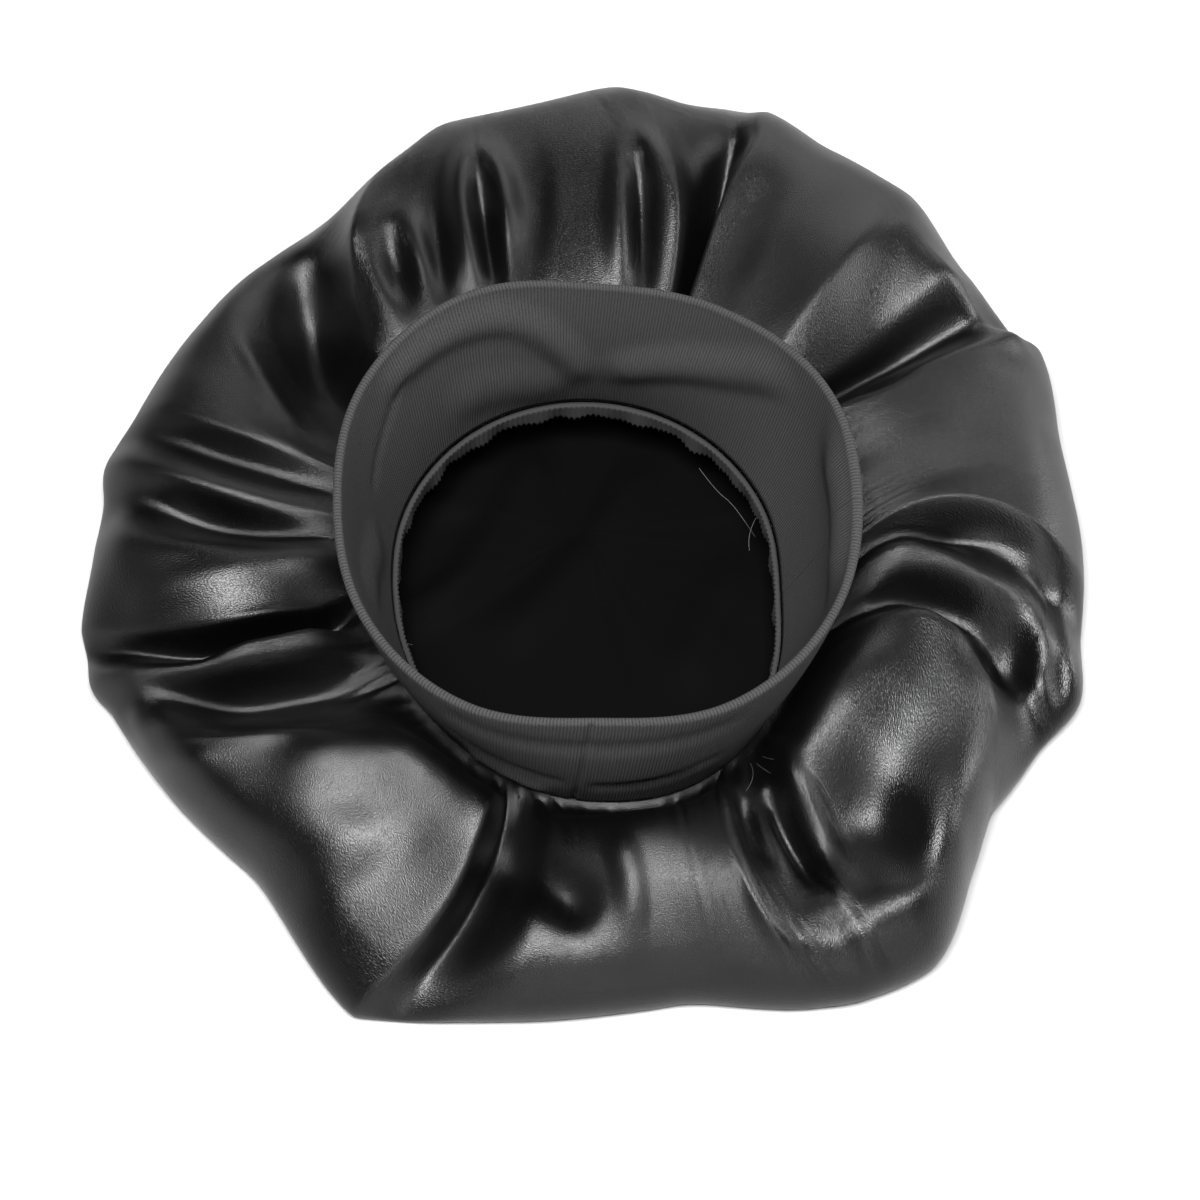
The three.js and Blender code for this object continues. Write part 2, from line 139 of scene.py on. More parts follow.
# %% The folds, anticlockwise from the right
# root and tip are directions in degrees at the neck and at the outline; reach and bow are shares of the
# crown's radius; near, mid and rim are heights as shares of the puff; sharp is 1 for a crease.
FOLD_COLUMNS = ("root", "tip", "reach", "bow", "near", "mid", "rim", "sharp")
FOLDS = [
    ("right_panel_front_edge", -13, -9, 1.01, 0.16, 0.82, 1.0, 0.86, 0.9),
    ("right_panel", 16, 8, 0.99, 0.03, 0.84, 0.94, 0.8, 0),
    ("right_panel_back_edge", 44, 23, 1.035, -0.01, 0.8, 0.94, 0.78, 0.8),
    ("right_back_valley", 47, 27, 1.01, 0.03, 0.5, 0.38, 0.54, 0.4),
    ("right_back_face", 50, 36, 1.0, -0.02, 0.66, 0.7, 0.85, 0.1),
    ("back_right_panel_edge", 53, 48, 1.055, -0.02, 0.86, 1.06, 0.86, 0.8),
    ("back_right_panel", 61, 59, 1.06, 0.01, 0.82, 0.96, 0.84, 0),
    ("back_right_panel_left_edge", 71, 68, 1.095, 0.01, 0.82, 1.0, 0.86, 0.9),
    ("back_valley", 73.5, 72, 1.09, -0.03, 0.5, 0.46, 0.72, 0.2),
    ("back_face", 75.5, 79, 1.06, -0.08, 0.62, 0.68, 0.84, 0.2),
    ("back_panel_right_edge", 78, 88, 1.08, -0.13, 0.88, 1.06, 0.9, 0.9),
    ("back_panel", 99, 97, 1.035, 0, 0.96, 1.02, 0.86, 0),
    ("back_panel_left", 119, 106, 1.03, 0.04, 0.92, 0.98, 0.82, 0),
    ("back_left_edge", 132, 112, 0.97, 0.15, 0.84, 1.0, 0.8, 0.9),
    ("back_left_valley", 138.5, 128, 0.93, 0.13, 0.42, 0.3, 0.5, 0.1),
    ("left_back_face", 144, 146, 0.93, 0.12, 0.6, 0.8, 0.68, 0.3),
    ("left_back_ridge", 147, 165, 0.945, 0.04, 0.7, 0.9, 0.76, 0),
    ("left_back_crease", 152, 169, 0.97, 0.03, 0.62, 0.66, 0.6, 0),
    ("left_ridge", 157, 173, 0.98, 0.06, 0.68, 0.84, 0.7, 0),
    ("left_valley", 162, 177.5, 0.97, 0.05, 0.58, 0.48, 0.54, 0),
    ("left_panel", 169, 185, 0.98, 0.08, 0.84, 0.92, 0.76, 0),
    ("left_panel_front_edge", 172, 193.5, 1.02, 0.12, 0.72, 0.8, 0.5, 0.9),
    ("left_front_valley", 178, 196.5, 1.02, 0.08, 0.3, 0.3, 0.32, 0.3),
    ("left_front_ridge", 191, 201, 1.03, 0.07, 0.66, 0.74, 0.58, 0.1),
    ("left_front_pocket", 202, 205, 1.01, 0.05, 0.3, 0.3, 0.52, 0),
    ("front_left_panel_back_edge", 219, 213, 1.0, 0.07, 0.8, 0.9, 0.76, 0.4),
    ("front_left_panel", 232, 229, 0.99, 0.07, 1.04, 0.82, 0.72, 0),
    ("front_left_panel_edge", 246, 248, 1.135, 0.09, 1.0, 0.78, 0.46, 1),
    ("front_left_valley", 250, 252.5, 1.11, 0.04, 0.26, 0.26, 0.26, 0.3),
    ("front_panel_left", 258, 263, 1.07, 0.04, 0.56, 0.66, 0.6, 0),
    ("front_panel", 284, 279, 1.045, 0.01, 0.84, 0.86, 0.6, 0),
    ("front_panel_right_edge", 308, 293, 1.125, -0.08, 0.8, 0.9, 0.64, 1),
    ("front_right_valley", 313, 297, 1.15, -0.03, 0.5, 0.5, 0.62, 0.4),
    ("front_right_lobe", 322, 304, 1.165, -0.02, 0.84, 0.5, 0.8, 0),
    ("right_front_panel", 330, 314, 1.07, 0.02, 1.0, 0.74, 0.84, 0),
    ("right_front_panel_edge", 338, 321, 1.015, 0.2, 0.84, 0.96, 0.78, 0.7),
    ("right_front_valley", 340.5, 330, 1.02, 0.19, 0.54, 0.4, 0.44, 0.2),
    ("right_front_tuck", 343, 337.5, 1.055, 0.18, 0.7, 0.78, 0.66, 0.2),
    ("right_valley", 345, 345, 1.02, 0.17, 0.6, 0.66, 0.56, 0.2),
]

# %% [markdown]
# The smaller gathers and dents don't run all the way out. Each one follows its own short path, like a
# stroke of a brush: it lifts or presses the cloth along a line, and fades towards both ends.

# %% Strokes
# path holds places in millimetres, x to the right and y to the back; half is half the stroke's width in
# millimetres, lift its height and crease 1 for a sharp line or 0 for a soft swell.
STROKES = [
    ("pleat_nose", ((-84, 86), (-81, 100), (-71, 104), (-61, 95), (-54, 76)), 6, 3, 0.2),
    ("pleat_hollow", ((-73, 98), (-67, 86), (-60, 70)), 8, -8, 0),
    ("pleat_gap", ((-57, 108), (-52, 92), (-49, 74)), 5, -5, 0.2),
    (
        "finger",
        ((-37, 72), (-42, 98), (-45, 120), (-39, 133), (-32, 124), (-28, 108), (-26, 88)),
        8, 4.5, 0.1,
    ),
    ("finger_hollow", ((-37, 121), (-35, 102), (-31, 74)), 6.5, -8, 0),
    ("finger_gap", ((-18, 128), (-17, 106), (-22, 74)), 9, -3, 0),
    ("loop", ((13, 74), (13, 104), (15, 126), (20, 138), (26, 126), (31, 112), (34, 92)), 8, 4, 0.1),
    ("loop_hollow", ((19, 128), (20, 104), (21, 74)), 6.5, -8, 0),
    ("loop_pinch", ((19, 76), (22, 91), (28, 96)), 3, 2.5, 0.6),
    ("lens", ((63, 132), (60, 112), (51, 92), (42, 74)), 14, -3.5, 0),
    ("panel_dark_edge", ((62, 152), (52, 131), (45, 116), (38, 92), (36, 78)), 5, -6, 0.3),
    ("right_back_strip", ((108, 109), (120, 92), (136, 76), (156, 53)), 6, 4, 0.3),
    ("right_back_pocket", ((112, 44), (98, 38), (82, 42)), 7, -9, 0.1),
    ("left_pocket", ((-98, 98), (-90, 72), (-78, 48)), 20, -12, 0),
    ("left_pocket_lip", ((-120, 62), (-107, 35), (-97, 17), (-88, 20), (-78, 30)), 6, 3.5, 0.2),
    ("left_step", ((-101, -46), (-90, -44), (-76, -48)), 9, -4, 0),
    ("valley_fold", ((-126, -66), (-108, -61), (-92, -56), (-78, -53)), 9, 12, 0),
    ("left_panel_border", ((-156, -46), (-130, -43), (-104, -36)), 9, 2.5, 0),
    ("left_hook", ((-149, -74), (-147, -90), (-141, -101), (-130, -105), (-116, -106)), 6, 2.5, 0.2),
    ("left_lip", ((-112, -90), (-106, -80), (-94, -77), (-78, -79)), 5, 1, 0.2),
    ("left_deep", ((-100, -92), (-84, -92), (-66, -96)), 8, -4, 0),
    ("corner_ridge", ((-94, -98), (-80, -122), (-66, -148)), 22, 4.5, 0),
    ("front_hollow", ((-26, -124), (-20, -137), (-6, -151), (8, -164)), 11, -8, 0),
    ("front_swell", ((8, -132), (13, -143), (16, -156), (13, -166)), 7, 2.5, 0),
    ("front_edge", ((44, -112), (47, -123), (51, -139), (52, -148), (57, -162), (67, -171)), 4, 3, 0.6),
    ("tuck_gap_left", ((49, -112), (53, -130), (57, -145)), 5, -8, 0),
    ("tuck_left", ((59, -106), (61, -128), (65, -142), (60, -151)), 5, 4, 0),
    ("tuck_gap_right", ((60, -113), (66, -128), (72, -138), (74, -147)), 4.5, -8, 0),
    ("tuck_right", ((62, -103), (73, -123), (81, -140), (78, -152), (66, -158)), 7, 5, 0),
    ("lobe_bowl", ((86, -108), (97, -126), (106, -142), (120, -148)), 13, -3, 0),
    ("lobe_rim", ((121, -122), (124, -140), (118, -160), (104, -176), (88, -184)), 8, 2, 0),
    ("arch", ((91, -50), (95, -43), (100, -40), (108, -47), (115, -58)), 5, 5, 0.2),
    ("under_edge", ((114, -22), (134, -18), (151, -24)), 6, -5, 0),
    ("panel_reach", ((82, -36), (98, -30), (118, -22)), 9, 8, 0),
    ("under_swell", ((94, -34), (114, -29), (134, -30)), 10, 4, 0),
    ("right_bowl", ((140, -36), (144, -52), (138, -66), (122, -62)), 13, -11, 0),
    ("outer_gap", ((154, -28), (157, -46), (159, -64), (160, -80)), 5, -5, 0),
    ("curl", ((150, -62), (152, -71), (155, -77), (161, -80)), 4, 3, 0.4),
]
# the strokes lie between these shares of the way from the neck, over the outline, to the surface
STROKES_START = 0.06
STROKES_END = 0.7
STROKES_FADE = 0.14

# %% The band's shape every 30 degrees, anticlockwise from the right
# rim and neck are shares of their radii, belly a share of the height
BAND_SECTIONS = [
    (1.02, 0.95, 0.03),
    (1.03, 1.0, 0.04),
    (0.98, 1.04, -0.02),
    (0.955, 1.06, -0.06),
    (1.06, 1.05, -0.03),
    (1.065, 1.0, 0.01),
    (1.02, 0.93, 0.03),
    (1.03, 0.92, 0.02),
    (1.01, 0.95, 0.03),
    (0.94, 1.02, 0.03),
    (1.01, 1.07, 0.01),
    (1.03, 1.02, 0.03),
]
RIM, NECK, BELLY = 0, 1, 2

# %% Gathers beside the neck and soft wrinkles everywhere
GATHER_DEPTH = 1.1  # millimetres
GATHER_START = 0.02  # this and the next two are shares of the way from the neck to the outline
GATHER_RISE = 0.05
GATHER_REACH = 0.1
# pleats all round, height as a share of the depth, start in radians
GATHER_RIPPLES = [
    (61, 1, 0),
    (83, 0.8, 1.3),
    (107, 0.6, 4),
]
# length and height in millimetres, direction and start in radians
WRINKLES = [
    (46, 0.35, 0.4, 0.0),
    (33, 0.25, 1.5, 2.1),
    (27, 0.2, 2.6, 4.0),
    (17, 0.08, 0.9, 1.2),
    (13, 0.06, 2.1, 5.1),
]
print("folds:", len(FOLDS), "strokes:", len(STROKES), "wrinkles:", len(WRINKLES))


# %% Curves through the table
def direction(angle):
    """Unit vectors for angles in degrees."""
    turned = np.radians(angle)
    return np.stack([np.cos(turned), np.sin(turned)], -1)


def cubic_through(one, two, leave, arrive, part):
    """A smooth step from one to two that leaves and arrives at the given slopes."""
    cubic = 2 * one - 2 * two + leave + arrive
    square = -3 * one + 3 * two - 2 * leave - arrive
    return cubic * part**3 + square * part**2 + leave * part + one


def band_value(column, angle):
    """A column of BAND_SECTIONS at any angle, smooth all round."""
    rows = np.array([row[column] for row in BAND_SECTIONS])
    place = np.mod(angle, 360) / (360 / len(rows))
    first = np.floor(place).astype(int)
    part = place - first
    before, here, after, beyond = (rows[(first + step) % len(rows)] for step in (-1, 0, 1, 2))
    return cubic_through(here, after, (after - before) / 2, (beyond - here) / 2, part)


# %% The sewn line and the rim
def neck_height(angle):
    """The height of the sewn line, which lies lower in front than at the back."""
    return NECK_HEIGHT + NECK_SLANT_HEIGHT * np.sin(np.radians(angle))


def neck_line(angle):
    """Points of the sewn line between crown and band, in millimetres."""
    flat = (NECK_X, NECK_Y) + direction(angle) * (NECK_RADIUS * band_value(NECK, angle))[:, None]
    return np.column_stack([flat, neck_height(angle)])


def rim_line(angle):
    """Points of the band's rim, in millimetres."""
    flat = (RIM_X, RIM_Y) + direction(angle) * (RIM_RADIUS * band_value(RIM, angle))[:, None]
    return np.column_stack([flat, neck_height(angle) + BAND_HEIGHT])


# %% Folds between the rows of the table
def spread_folds(per_degree):
    """Each column of FOLDS at fine steps all round: smooth over rounded folds, bent at creases."""
    table = {name: np.array([row[k + 1] for row in FOLDS], float) for k, name in enumerate(FOLD_COLUMNS)}
    count = len(FOLDS)
    middle = (table["root"] + table["tip"]) / 2
    turn_of = {"root": 360, "tip": 360}

    def row_value(values, k, turn):
        return values[k % count] + turn * (k // count)

    fine = {name: [] for name in FOLD_COLUMNS}
    for k in range(count):
        span = row_value(middle, k + 1, 360) - middle[k]
        steps = max(2, round(span * per_degree))
        part = np.arange(steps) / steps
        for name in FOLD_COLUMNS:
            turn = turn_of.get(name, 0)
            values = table[name]

            def rise(j):
                width = row_value(middle, j + 1, 360) - row_value(middle, j, 360)
                return (row_value(values, j + 1, turn) - row_value(values, j, turn)) / width

            def slope(j, after):
                one, two = rise(j - 1), rise(j)
                rounded = 2 * one * two / (one + two) if one * two > 0 else 0
                sharp = table["sharp"][j % count]
                return rounded + ((two if after else one) - rounded) * sharp

            start, end = row_value(values, k, turn), row_value(values, k + 1, turn)
            leave, arrive = span * slope(k, True), span * slope(k + 1, False)
            ease = part**2 * (3 - 2 * part)
            bend = leave * part * (1 - part) ** 2 - arrive * part**2 * (1 - part)
            fine[name].append(start + (end - start) * ease + bend)
    return {name: np.concatenate(values) for name, values in fine.items()}


# %% Sections through the puff
def centripetal(knots, places):
    """A curve through knots, whose first axis counts along it, at places from 0 to 1."""
    last = len(knots) - 1
    drawn = []
    for place in places:
        at = min(last - 1, int(place * last))
        part = place * last - at
        one, two = knots[at], knots[at + 1]
        zero = knots[at - 1] if at else 2 * one - two
        three = knots[at + 2] if at + 2 <= last else 2 * two - one

        def gap(a, b):
            return np.maximum(((a - b) ** 2).sum(-1, keepdims=True), 1e-8) ** 0.25

        before, here, after = gap(zero, one), gap(one, two), gap(two, three)
        leave = ((one - zero) / before - (two - zero) / (before + here) + (two - one) / here) * here
        arrive = ((two - one) / here - (three - one) / (here + after) + (three - two) / after) * here
        drawn.append(cubic_through(one, two, leave, arrive, part))
    return np.array(drawn)


# %% What one stroke does
def smooth_path(path, steps=8):
    """Points along a smooth line through a path's places."""
    places = np.array(path, float)
    ends = np.vstack([2 * places[0] - places[1], places, 2 * places[-1] - places[-2]])
    part = (np.arange(steps) / steps)[:, None]
    drawn = []
    for k in range(len(places) - 1):
        before, here, after, beyond = ends[k : k + 4]
        drawn.append(cubic_through(here, after, (after - before) / 2, (beyond - here) / 2, part))
    return np.vstack(drawn + [places[-1:]])


def smooth_step(value):
    """Eases from 0 to 1 as value does."""
    value = np.clip(value, 0, 1)
    return value * value * (3 - 2 * value)


def stroke_lift(xy, path, half, lift, crease):
    """How far one stroke lifts each of the points xy."""
    line = smooth_path(path)
    nearest = np.full(len(xy), 1e9)
    along = np.zeros(len(xy))
    length = np.concatenate([[0], np.cumsum(np.linalg.norm(np.diff(line, axis=0), axis=1))])
    for k in range(len(line) - 1):
        step = line[k + 1] - line[k]
        size = step @ step
        part = np.clip((xy - line[k]) @ step / size, 0, 1)
        away = np.linalg.norm(xy - line[k] - part[:, None] * step, axis=1)
        closer = away < nearest
        nearest = np.where(closer, away, nearest)
        along = np.where(closer, length[k] + part * math.sqrt(size), along)
    across = np.clip(nearest / half, 0, 1)
    profile = (1 - across**2) ** 2 * (1 - crease) + (1 - across) ** 2 * crease
    fade = min(0.3 * length[-1], 1.5 * half)
    ends = smooth_step(along / fade) * smooth_step((length[-1] - along) / fade)
    return lift * profile * ends


# %% Gathers and wrinkles
def fine_gathers(angle, share):
    """Small pleats that the gathering thread draws in beside the band."""
    turn = np.radians(angle)
    ripple = sum(height * np.sin(pleats * turn + shift) for pleats, height, shift in GATHER_RIPPLES)
    swell = 0.6 + 0.4 * np.sin(7 * turn + 2)
    fade = smooth_step((share - GATHER_START) / GATHER_RISE) * np.exp(-share / GATHER_REACH)
    return GATHER_DEPTH * (ripple * swell)[None] * fade


def wrinkles(xy):
    """Soft unevenness of the lying cloth."""
    x, y = xy[:, :, 0], xy[:, :, 1]
    uneven = np.zeros(x.shape)
    for length, height, turn, shift in WRINKLES:
        across = math.cos(turn) * x + math.sin(turn) * y
        along = math.cos(turn) * y - math.sin(turn) * x
        bend = np.sin(along / length * 2.3 + 2 * shift)
        uneven += height * np.sin(across * 2 * math.pi / length + shift + bend)
    return uneven


# %% The crown as a grid of points
def crown_grid(per_degree, rows):
    """Rings of points from the neck over the outline to the surface, and each column's fabric angle."""
    fold = spread_folds(per_degree)
    foot = neck_line(fold["root"])
    tip = (CROWN_X, CROWN_Y) + direction(fold["tip"]) * (fold["reach"] * CROWN_RADIUS)[:, None]
    flat = tip - foot[:, :2]
    way = np.linalg.norm(flat, axis=1)
    side = np.column_stack([-flat[:, 1], flat[:, 0]]) / way[:, None]
    near, mid, rim = (fold[name] * PUFF_HEIGHT for name in ("near", "mid", "rim"))
    start = foot[:, 2] - SEAM_GAP
    level = np.ones_like(way)
    # share of the way out and height
    knots = [
        (0 * level, start),
        (NECK_LEDGE / way, start),
        (0.24 * level, near),
        (0.56 * level, mid),
        (0.84 * level, rim),
        (0.96 * level, 0.62 * rim),
        (level, 0.3 * rim),
        (0.985 * level, 0.06 * rim),
        (EDGE_FLOOR_SHARE * level, 0 * level),
    ]
    section = np.array([np.column_stack([share * way, height]) for share, height in knots])
    places = np.linspace(0, 1, rows + 1)
    drawn = centripetal(section, places)
    share = drawn[:, :, 0] / way
    bowed = 4 * fold["bow"] * CROWN_RADIUS * share * (1 - share)
    xy = foot[None, :, :2] + flat * share[:, :, None] + side * bowed[:, :, None]
    lift = np.zeros(xy.shape[:2])
    upper = (places > STROKES_START) & (places < STROKES_END)
    calm = smooth_step((STROKES_END - places[upper]) / STROKES_FADE)[:, None]
    for _, path, half, height, crease in STROKES:
        stroke = stroke_lift(xy[upper].reshape(-1, 2), path, half, height, crease)
        lift[upper] += calm * stroke.reshape(-1, len(way))
    lift += fine_gathers(fold["root"], share) + wrinkles(xy)
    z = np.maximum(0, drawn[:, :, 1] + lift)
    return np.concatenate([xy, z[:, :, None]], -1), (fold["root"] + fold["tip"]) / 2


# %% [markdown]
# ## The crown's cloth
# The grid of points becomes one sheet: rings from the neck over the outline and under to the surface,
# then a round bottom. The sheet is smoothed a little, as cloth has no hard kinks. Solidify then gives it
# its thickness and puts the satin's dull wrong side inside. A UV map holds where each point lies on the
# flat circle that was cut, so that the weave runs straight across the cloth and turns round the folds as
# it does on real satin.

# %% Sizes of the sheet
CROWN_PER_DEGREE = 2.2
CROWN_ROWS = 50
CUT_RADIUS = 0.28  # metres, of the flat circle
SATIN_THICKNESS = 0.9  # millimetres
SMOOTH_FACTOR = 0.5
SMOOTH_TURNS = 6
BOTTOM_MERGE = 4  # columns of the bottom are this many times wider
BOTTOM_STEPS = 40
BOTTOM_EDGE = 0.98  # where the bottom's first ring lies, as a share of the way to the crown's last one
# soft creases that show through the opening, in the columns of STROKES
BOTTOM_STROKES = [
    ("inside_diagonal", ((-62, -40), (-40, -16), (-24, 12), (-14, 40)), 11, 3.5, 0.1),
    ("inside_diagonal_right", ((-34, -48), (-8, -22), (12, 8), (24, 36)), 13, 2.5, 0.0),
    ("inside_fold_right", ((30, -66), (44, -34), (58, -4)), 12, 3.0, 0.1),
    ("inside_small", ((-50, 2), (-40, 22), (-36, 44)), 7, 2.5, 0.2),
]


# %% Helpers for meshes
def mesh_piece(name, vertices, faces, uvs=None):
    """A new object from points in millimetres; uvs holds one pair a vertex."""
    mesh = bpy.data.meshes.new(name)
    mesh.from_pydata((np.asarray(vertices) * MM).tolist(), [], faces)
    mesh.update()
    mesh.polygons.foreach_set("use_smooth", [True] * len(mesh.polygons))
    if uvs is not None:
        layer = mesh.uv_layers.new(name="cut")
        corners = np.empty(len(mesh.loops), int)
        mesh.loops.foreach_get("vertex_index", corners)
        layer.data.foreach_set("uv", np.asarray(uvs)[corners].ravel())
    piece = bpy.data.objects.new(name, mesh)
    bpy.context.collection.objects.link(piece)
    return piece


def tube_faces(loops, columns):
    """Faces between rings of points, with the last ring joined to the first."""
    faces = []
    for ring in range(loops):
        here, below = ring * columns, (ring + 1) % loops * columns
        for column in range(columns):
            after = (column + 1) % columns
            faces.append((here + column, here + after, below + after, below + column))
    return faces


def apply_modifier(piece, kind, **settings):
    """Adds a modifier and applies it."""
    bpy.ops.object.select_all(action="DESELECT")
    piece.select_set(True)
    bpy.context.view_layer.objects.active = piece
    modifier = piece.modifiers.new(kind.lower(), kind)
    for name, value in settings.items():
        setattr(modifier, name, value)
    bpy.ops.object.modifier_apply(modifier=modifier.name)


# %% Rings from the neck to the surface
rings, cloth_angle = crown_grid(CROWN_PER_DEGREE, CROWN_ROWS)
count = rings.shape[1] - rings.shape[1] % BOTTOM_MERGE
if count < rings.shape[1]:
    keep = np.round(np.linspace(0, rings.shape[1] - 1, count)).astype(int)
    rings, cloth_angle = rings[:, keep], cloth_angle[keep]
points = [rings.reshape(-1, 3)]
faces = []
for ring in range(CROWN_ROWS):
    for column in range(count):
        after = (column + 1) % count
        here, below = ring * count, (ring + 1) * count
        faces.append((here + column, below + column, below + after, here + after))
print("rings:", CROWN_ROWS + 1, "of", count, "points")

# %% The round bottom
wide = count // BOTTOM_MERGE
edge = rings[-1]
BOTTOM_RINGS = [BOTTOM_EDGE * (1 - k / BOTTOM_STEPS) for k in range(BOTTOM_STEPS)]
start = CROWN_ROWS * count
total = len(points[0])
middle = np.array([0.0, 0.0, 0.0])
for number, share in enumerate(BOTTOM_RINGS):
    ring = middle + (edge[::BOTTOM_MERGE] - middle) * share
    for _, path, half, height, crease in BOTTOM_STROKES:
        ring[:, 2] += stroke_lift(ring[:, :2], path, half, height, crease)
    points.append(ring)
    first = total + number * wide
    for column in range(wide):
        after = (column + 1) % wide
        if number == 0:
            outer = [start + (column * BOTTOM_MERGE + k) % count for k in range(BOTTOM_MERGE + 1)]
            faces.append((*reversed(outer), first + column, first + after))
        else:
            faces.append((first - wide + after, first - wide + column, first + column, first + after))
last = total + (len(BOTTOM_RINGS) - 1) * wide
points.append(middle[None])
centre = last + wide
for column in range(wide):
    faces.append((last + column, centre, last + (column + 1) % wide))
points = np.concatenate(points)
print("crown sheet:", len(points), "points,", len(faces), "faces")

# %% Where each point lies on the flat circle
steps = np.linalg.norm(np.diff(rings, axis=0), axis=2)
from_neck = np.vstack([np.zeros((1, count)), np.cumsum(steps, axis=0)]) * MM
radius = CUT_RADIUS - from_neck
uv = [(direction(cloth_angle)[None] * radius[:, :, None]).reshape(-1, 2)]
left = radius[-1][::BOTTOM_MERGE]
for share in BOTTOM_RINGS:
    uv.append(direction(cloth_angle[::BOTTOM_MERGE]) * (left * share)[:, None])
uv.append(np.zeros((1, 2)))
uv = np.concatenate(uv)

crown = mesh_piece("satin_crown", points, faces, uv)
print("cloth from the neck to the surface:", round(from_neck[-1].mean(), 3), "metres")

# %% Give the sheet its thickness
crown.data.materials.append(bpy.data.materials.new("black satin"))
crown.data.materials.append(bpy.data.materials.new("satin wrong side"))
apply_modifier(crown, "SMOOTH", factor=SMOOTH_FACTOR, iterations=SMOOTH_TURNS)
thickness = SATIN_THICKNESS * MM
apply_modifier(crown, "SOLIDIFY", thickness=thickness, offset=-1, material_offset=1, material_offset_rim=1)
print("crown faces:", len(crown.data.polygons))

# %% [markdown]
# ## The band
# The band is a strip of rib knit folded in half, so its rim is a soft round fold and its wall is two
# layers. It is lofted as a tube: up the inside, over the rim and down the outside. The relaxed knit is
# a little slack inside, so the table of dents presses the inner wall in a few places.

# %% Slack and creases of the knit
# path holds degrees round the band and shares of its height, half is in millimetres and push how far the
# wall is pressed away from its own middle: below zero a crease, above it a bulge.
INNER_STROKES = [
    ("upper_layer", ((150, 0.84), (124, 0.84), (108, 0.76), (96, 0.5), (90, 0.2)), 10, 2.6, 0.1),
    ("lower_layer", ((132, 0.34), (112, 0.28), (92, 0.12)), 14, 1.6, 0.0),
    ("right_layer", ((90, 0.34), (70, 0.5), (52, 0.66), (36, 0.9)), 12, 3.0, 0.0),
    ("right_overhang", ((26, 0.8), (2, 0.84), (-24, 0.8)), 14, 4.0, 0.0),
    ("left_slack", ((196, 0.5), (180, 0.35), (166, 0.2)), 12, 2.0, 0.0),
    ("left_crease", ((138, 0.8), (150, 0.6), (163, 0.42)), 3, -1.2, 0.8),
]
OUTER_STROKES = [
    ("closing_seam", ((268.5, 1.06), (268, 0.5), (267, -0.04)), 1.8, -1.3, 1.0),
    ("hem_fold_left", ((236, 0.3), (250, 0.16), (263, 0.08)), 6, 1.8, 0.3),
    ("hem_crease_left", ((232, 0.5), (248, 0.36), (266, 0.26)), 5, -1.4, 0.4),
    ("hem_crease_right", ((268, 0.24), (286, 0.28), (304, 0.36)), 5, -1.6, 0.6),
    ("under_rim", ((232, 0.82), (268, 0.76), (306, 0.82)), 7, -1.0, 0.0),
]
BAND_COLUMNS = 540
BAND_ROWS = 24
RIM_STEPS = 8


# %% Rings of the band
def wall_push(angle, share, strokes):
    """How far the strokes press one ring of a wall."""
    around = math.radians(1) * RIM_RADIUS
    push = np.zeros(len(angle))
    for turn in (-360, 0):
        xy = np.column_stack([(angle + turn) * around, np.full(len(angle), share * BAND_HEIGHT)])
        for _, path, half, lift, crease in strokes:
            places = [(degrees * around, height * BAND_HEIGHT) for degrees, height in path]
            push += stroke_lift(xy, places, half, lift, crease)
    return push


def band_rings():
    """Rings of the band from the foot of the inner wall over the rim to the foot of the outer wall."""
    angle = np.arange(BAND_COLUMNS) * 360 / BAND_COLUMNS
    foot, rim = neck_line(angle), rim_line(angle)
    out = np.column_stack([direction(angle), np.zeros_like(angle)])
    belly = band_value(BELLY, angle) * BAND_HEIGHT
    half = BAND_WALL / 2

    def ring(share, side, pressed):
        place = foot * (1 - share) + rim * share
        place = place + out * (belly * math.sin(math.pi * share) + side * (half + pressed))[:, None]
        place[:, 2] += (1 - share) * SEAM_GAP - share * half
        return place

    shares = np.arange(BAND_ROWS + 1) / BAND_ROWS
    inside = [ring(share, -1, wall_push(angle, share, INNER_STROKES)) for share in shares]
    outside = [ring(share, 1, wall_push(angle, share, OUTER_STROKES)) for share in shares[::-1]]
    inner, outer = wall_push(angle, 1, INNER_STROKES), wall_push(angle, 1, OUTER_STROKES)
    fold = []
    for step in range(1, RIM_STEPS):
        turn = math.pi * step / RIM_STEPS
        over = ring(1, -math.cos(turn), inner if step < RIM_STEPS / 2 else outer)
        over[:, 2] += half * math.sin(turn)
        fold.append(over)
    return np.array(inside + fold + outside)


# %% Build the band
rings = band_rings()
loops = len(rings)
band = mesh_piece("knit_band", rings.reshape(-1, 3), tube_faces(loops, BAND_COLUMNS))

# %% Lay the knit's own map on the band: u counts metres round it, v metres up and over
ROUND = 0.508  # metres
rise = np.concatenate([[0], np.cumsum(np.linalg.norm(np.diff(rings, axis=0), axis=2).mean(1))]) * MM
layer = band.data.uv_layers.new(name="cut")
values = np.empty((len(band.data.loops), 2))
for polygon in band.data.polygons:
    ring = polygon.index // BAND_COLUMNS
    column = polygon.index % BAND_COLUMNS
    below = ring + 1
    top = rise[below] if below < loops else rise[-1] + BAND_WALL * MM
    pairs = [(column, rise[ring]), (column + 1, rise[ring]), (column + 1, top), (column, top)]
    for loop, (u, v) in zip(polygon.loop_indices, pairs):
        values[loop] = (u / BAND_COLUMNS * ROUND, v)
layer.data.foreach_set("uv", values.ravel())
band.data.materials.append(bpy.data.materials.new("rib knit"))
print("band faces:", len(band.data.polygons))

# %% [markdown]
# ## The overlocked seam
# Crown and band are sewn right sides together and overlocked. The raw edges turn inside and hang as a
# narrow bristly ring just below the band.

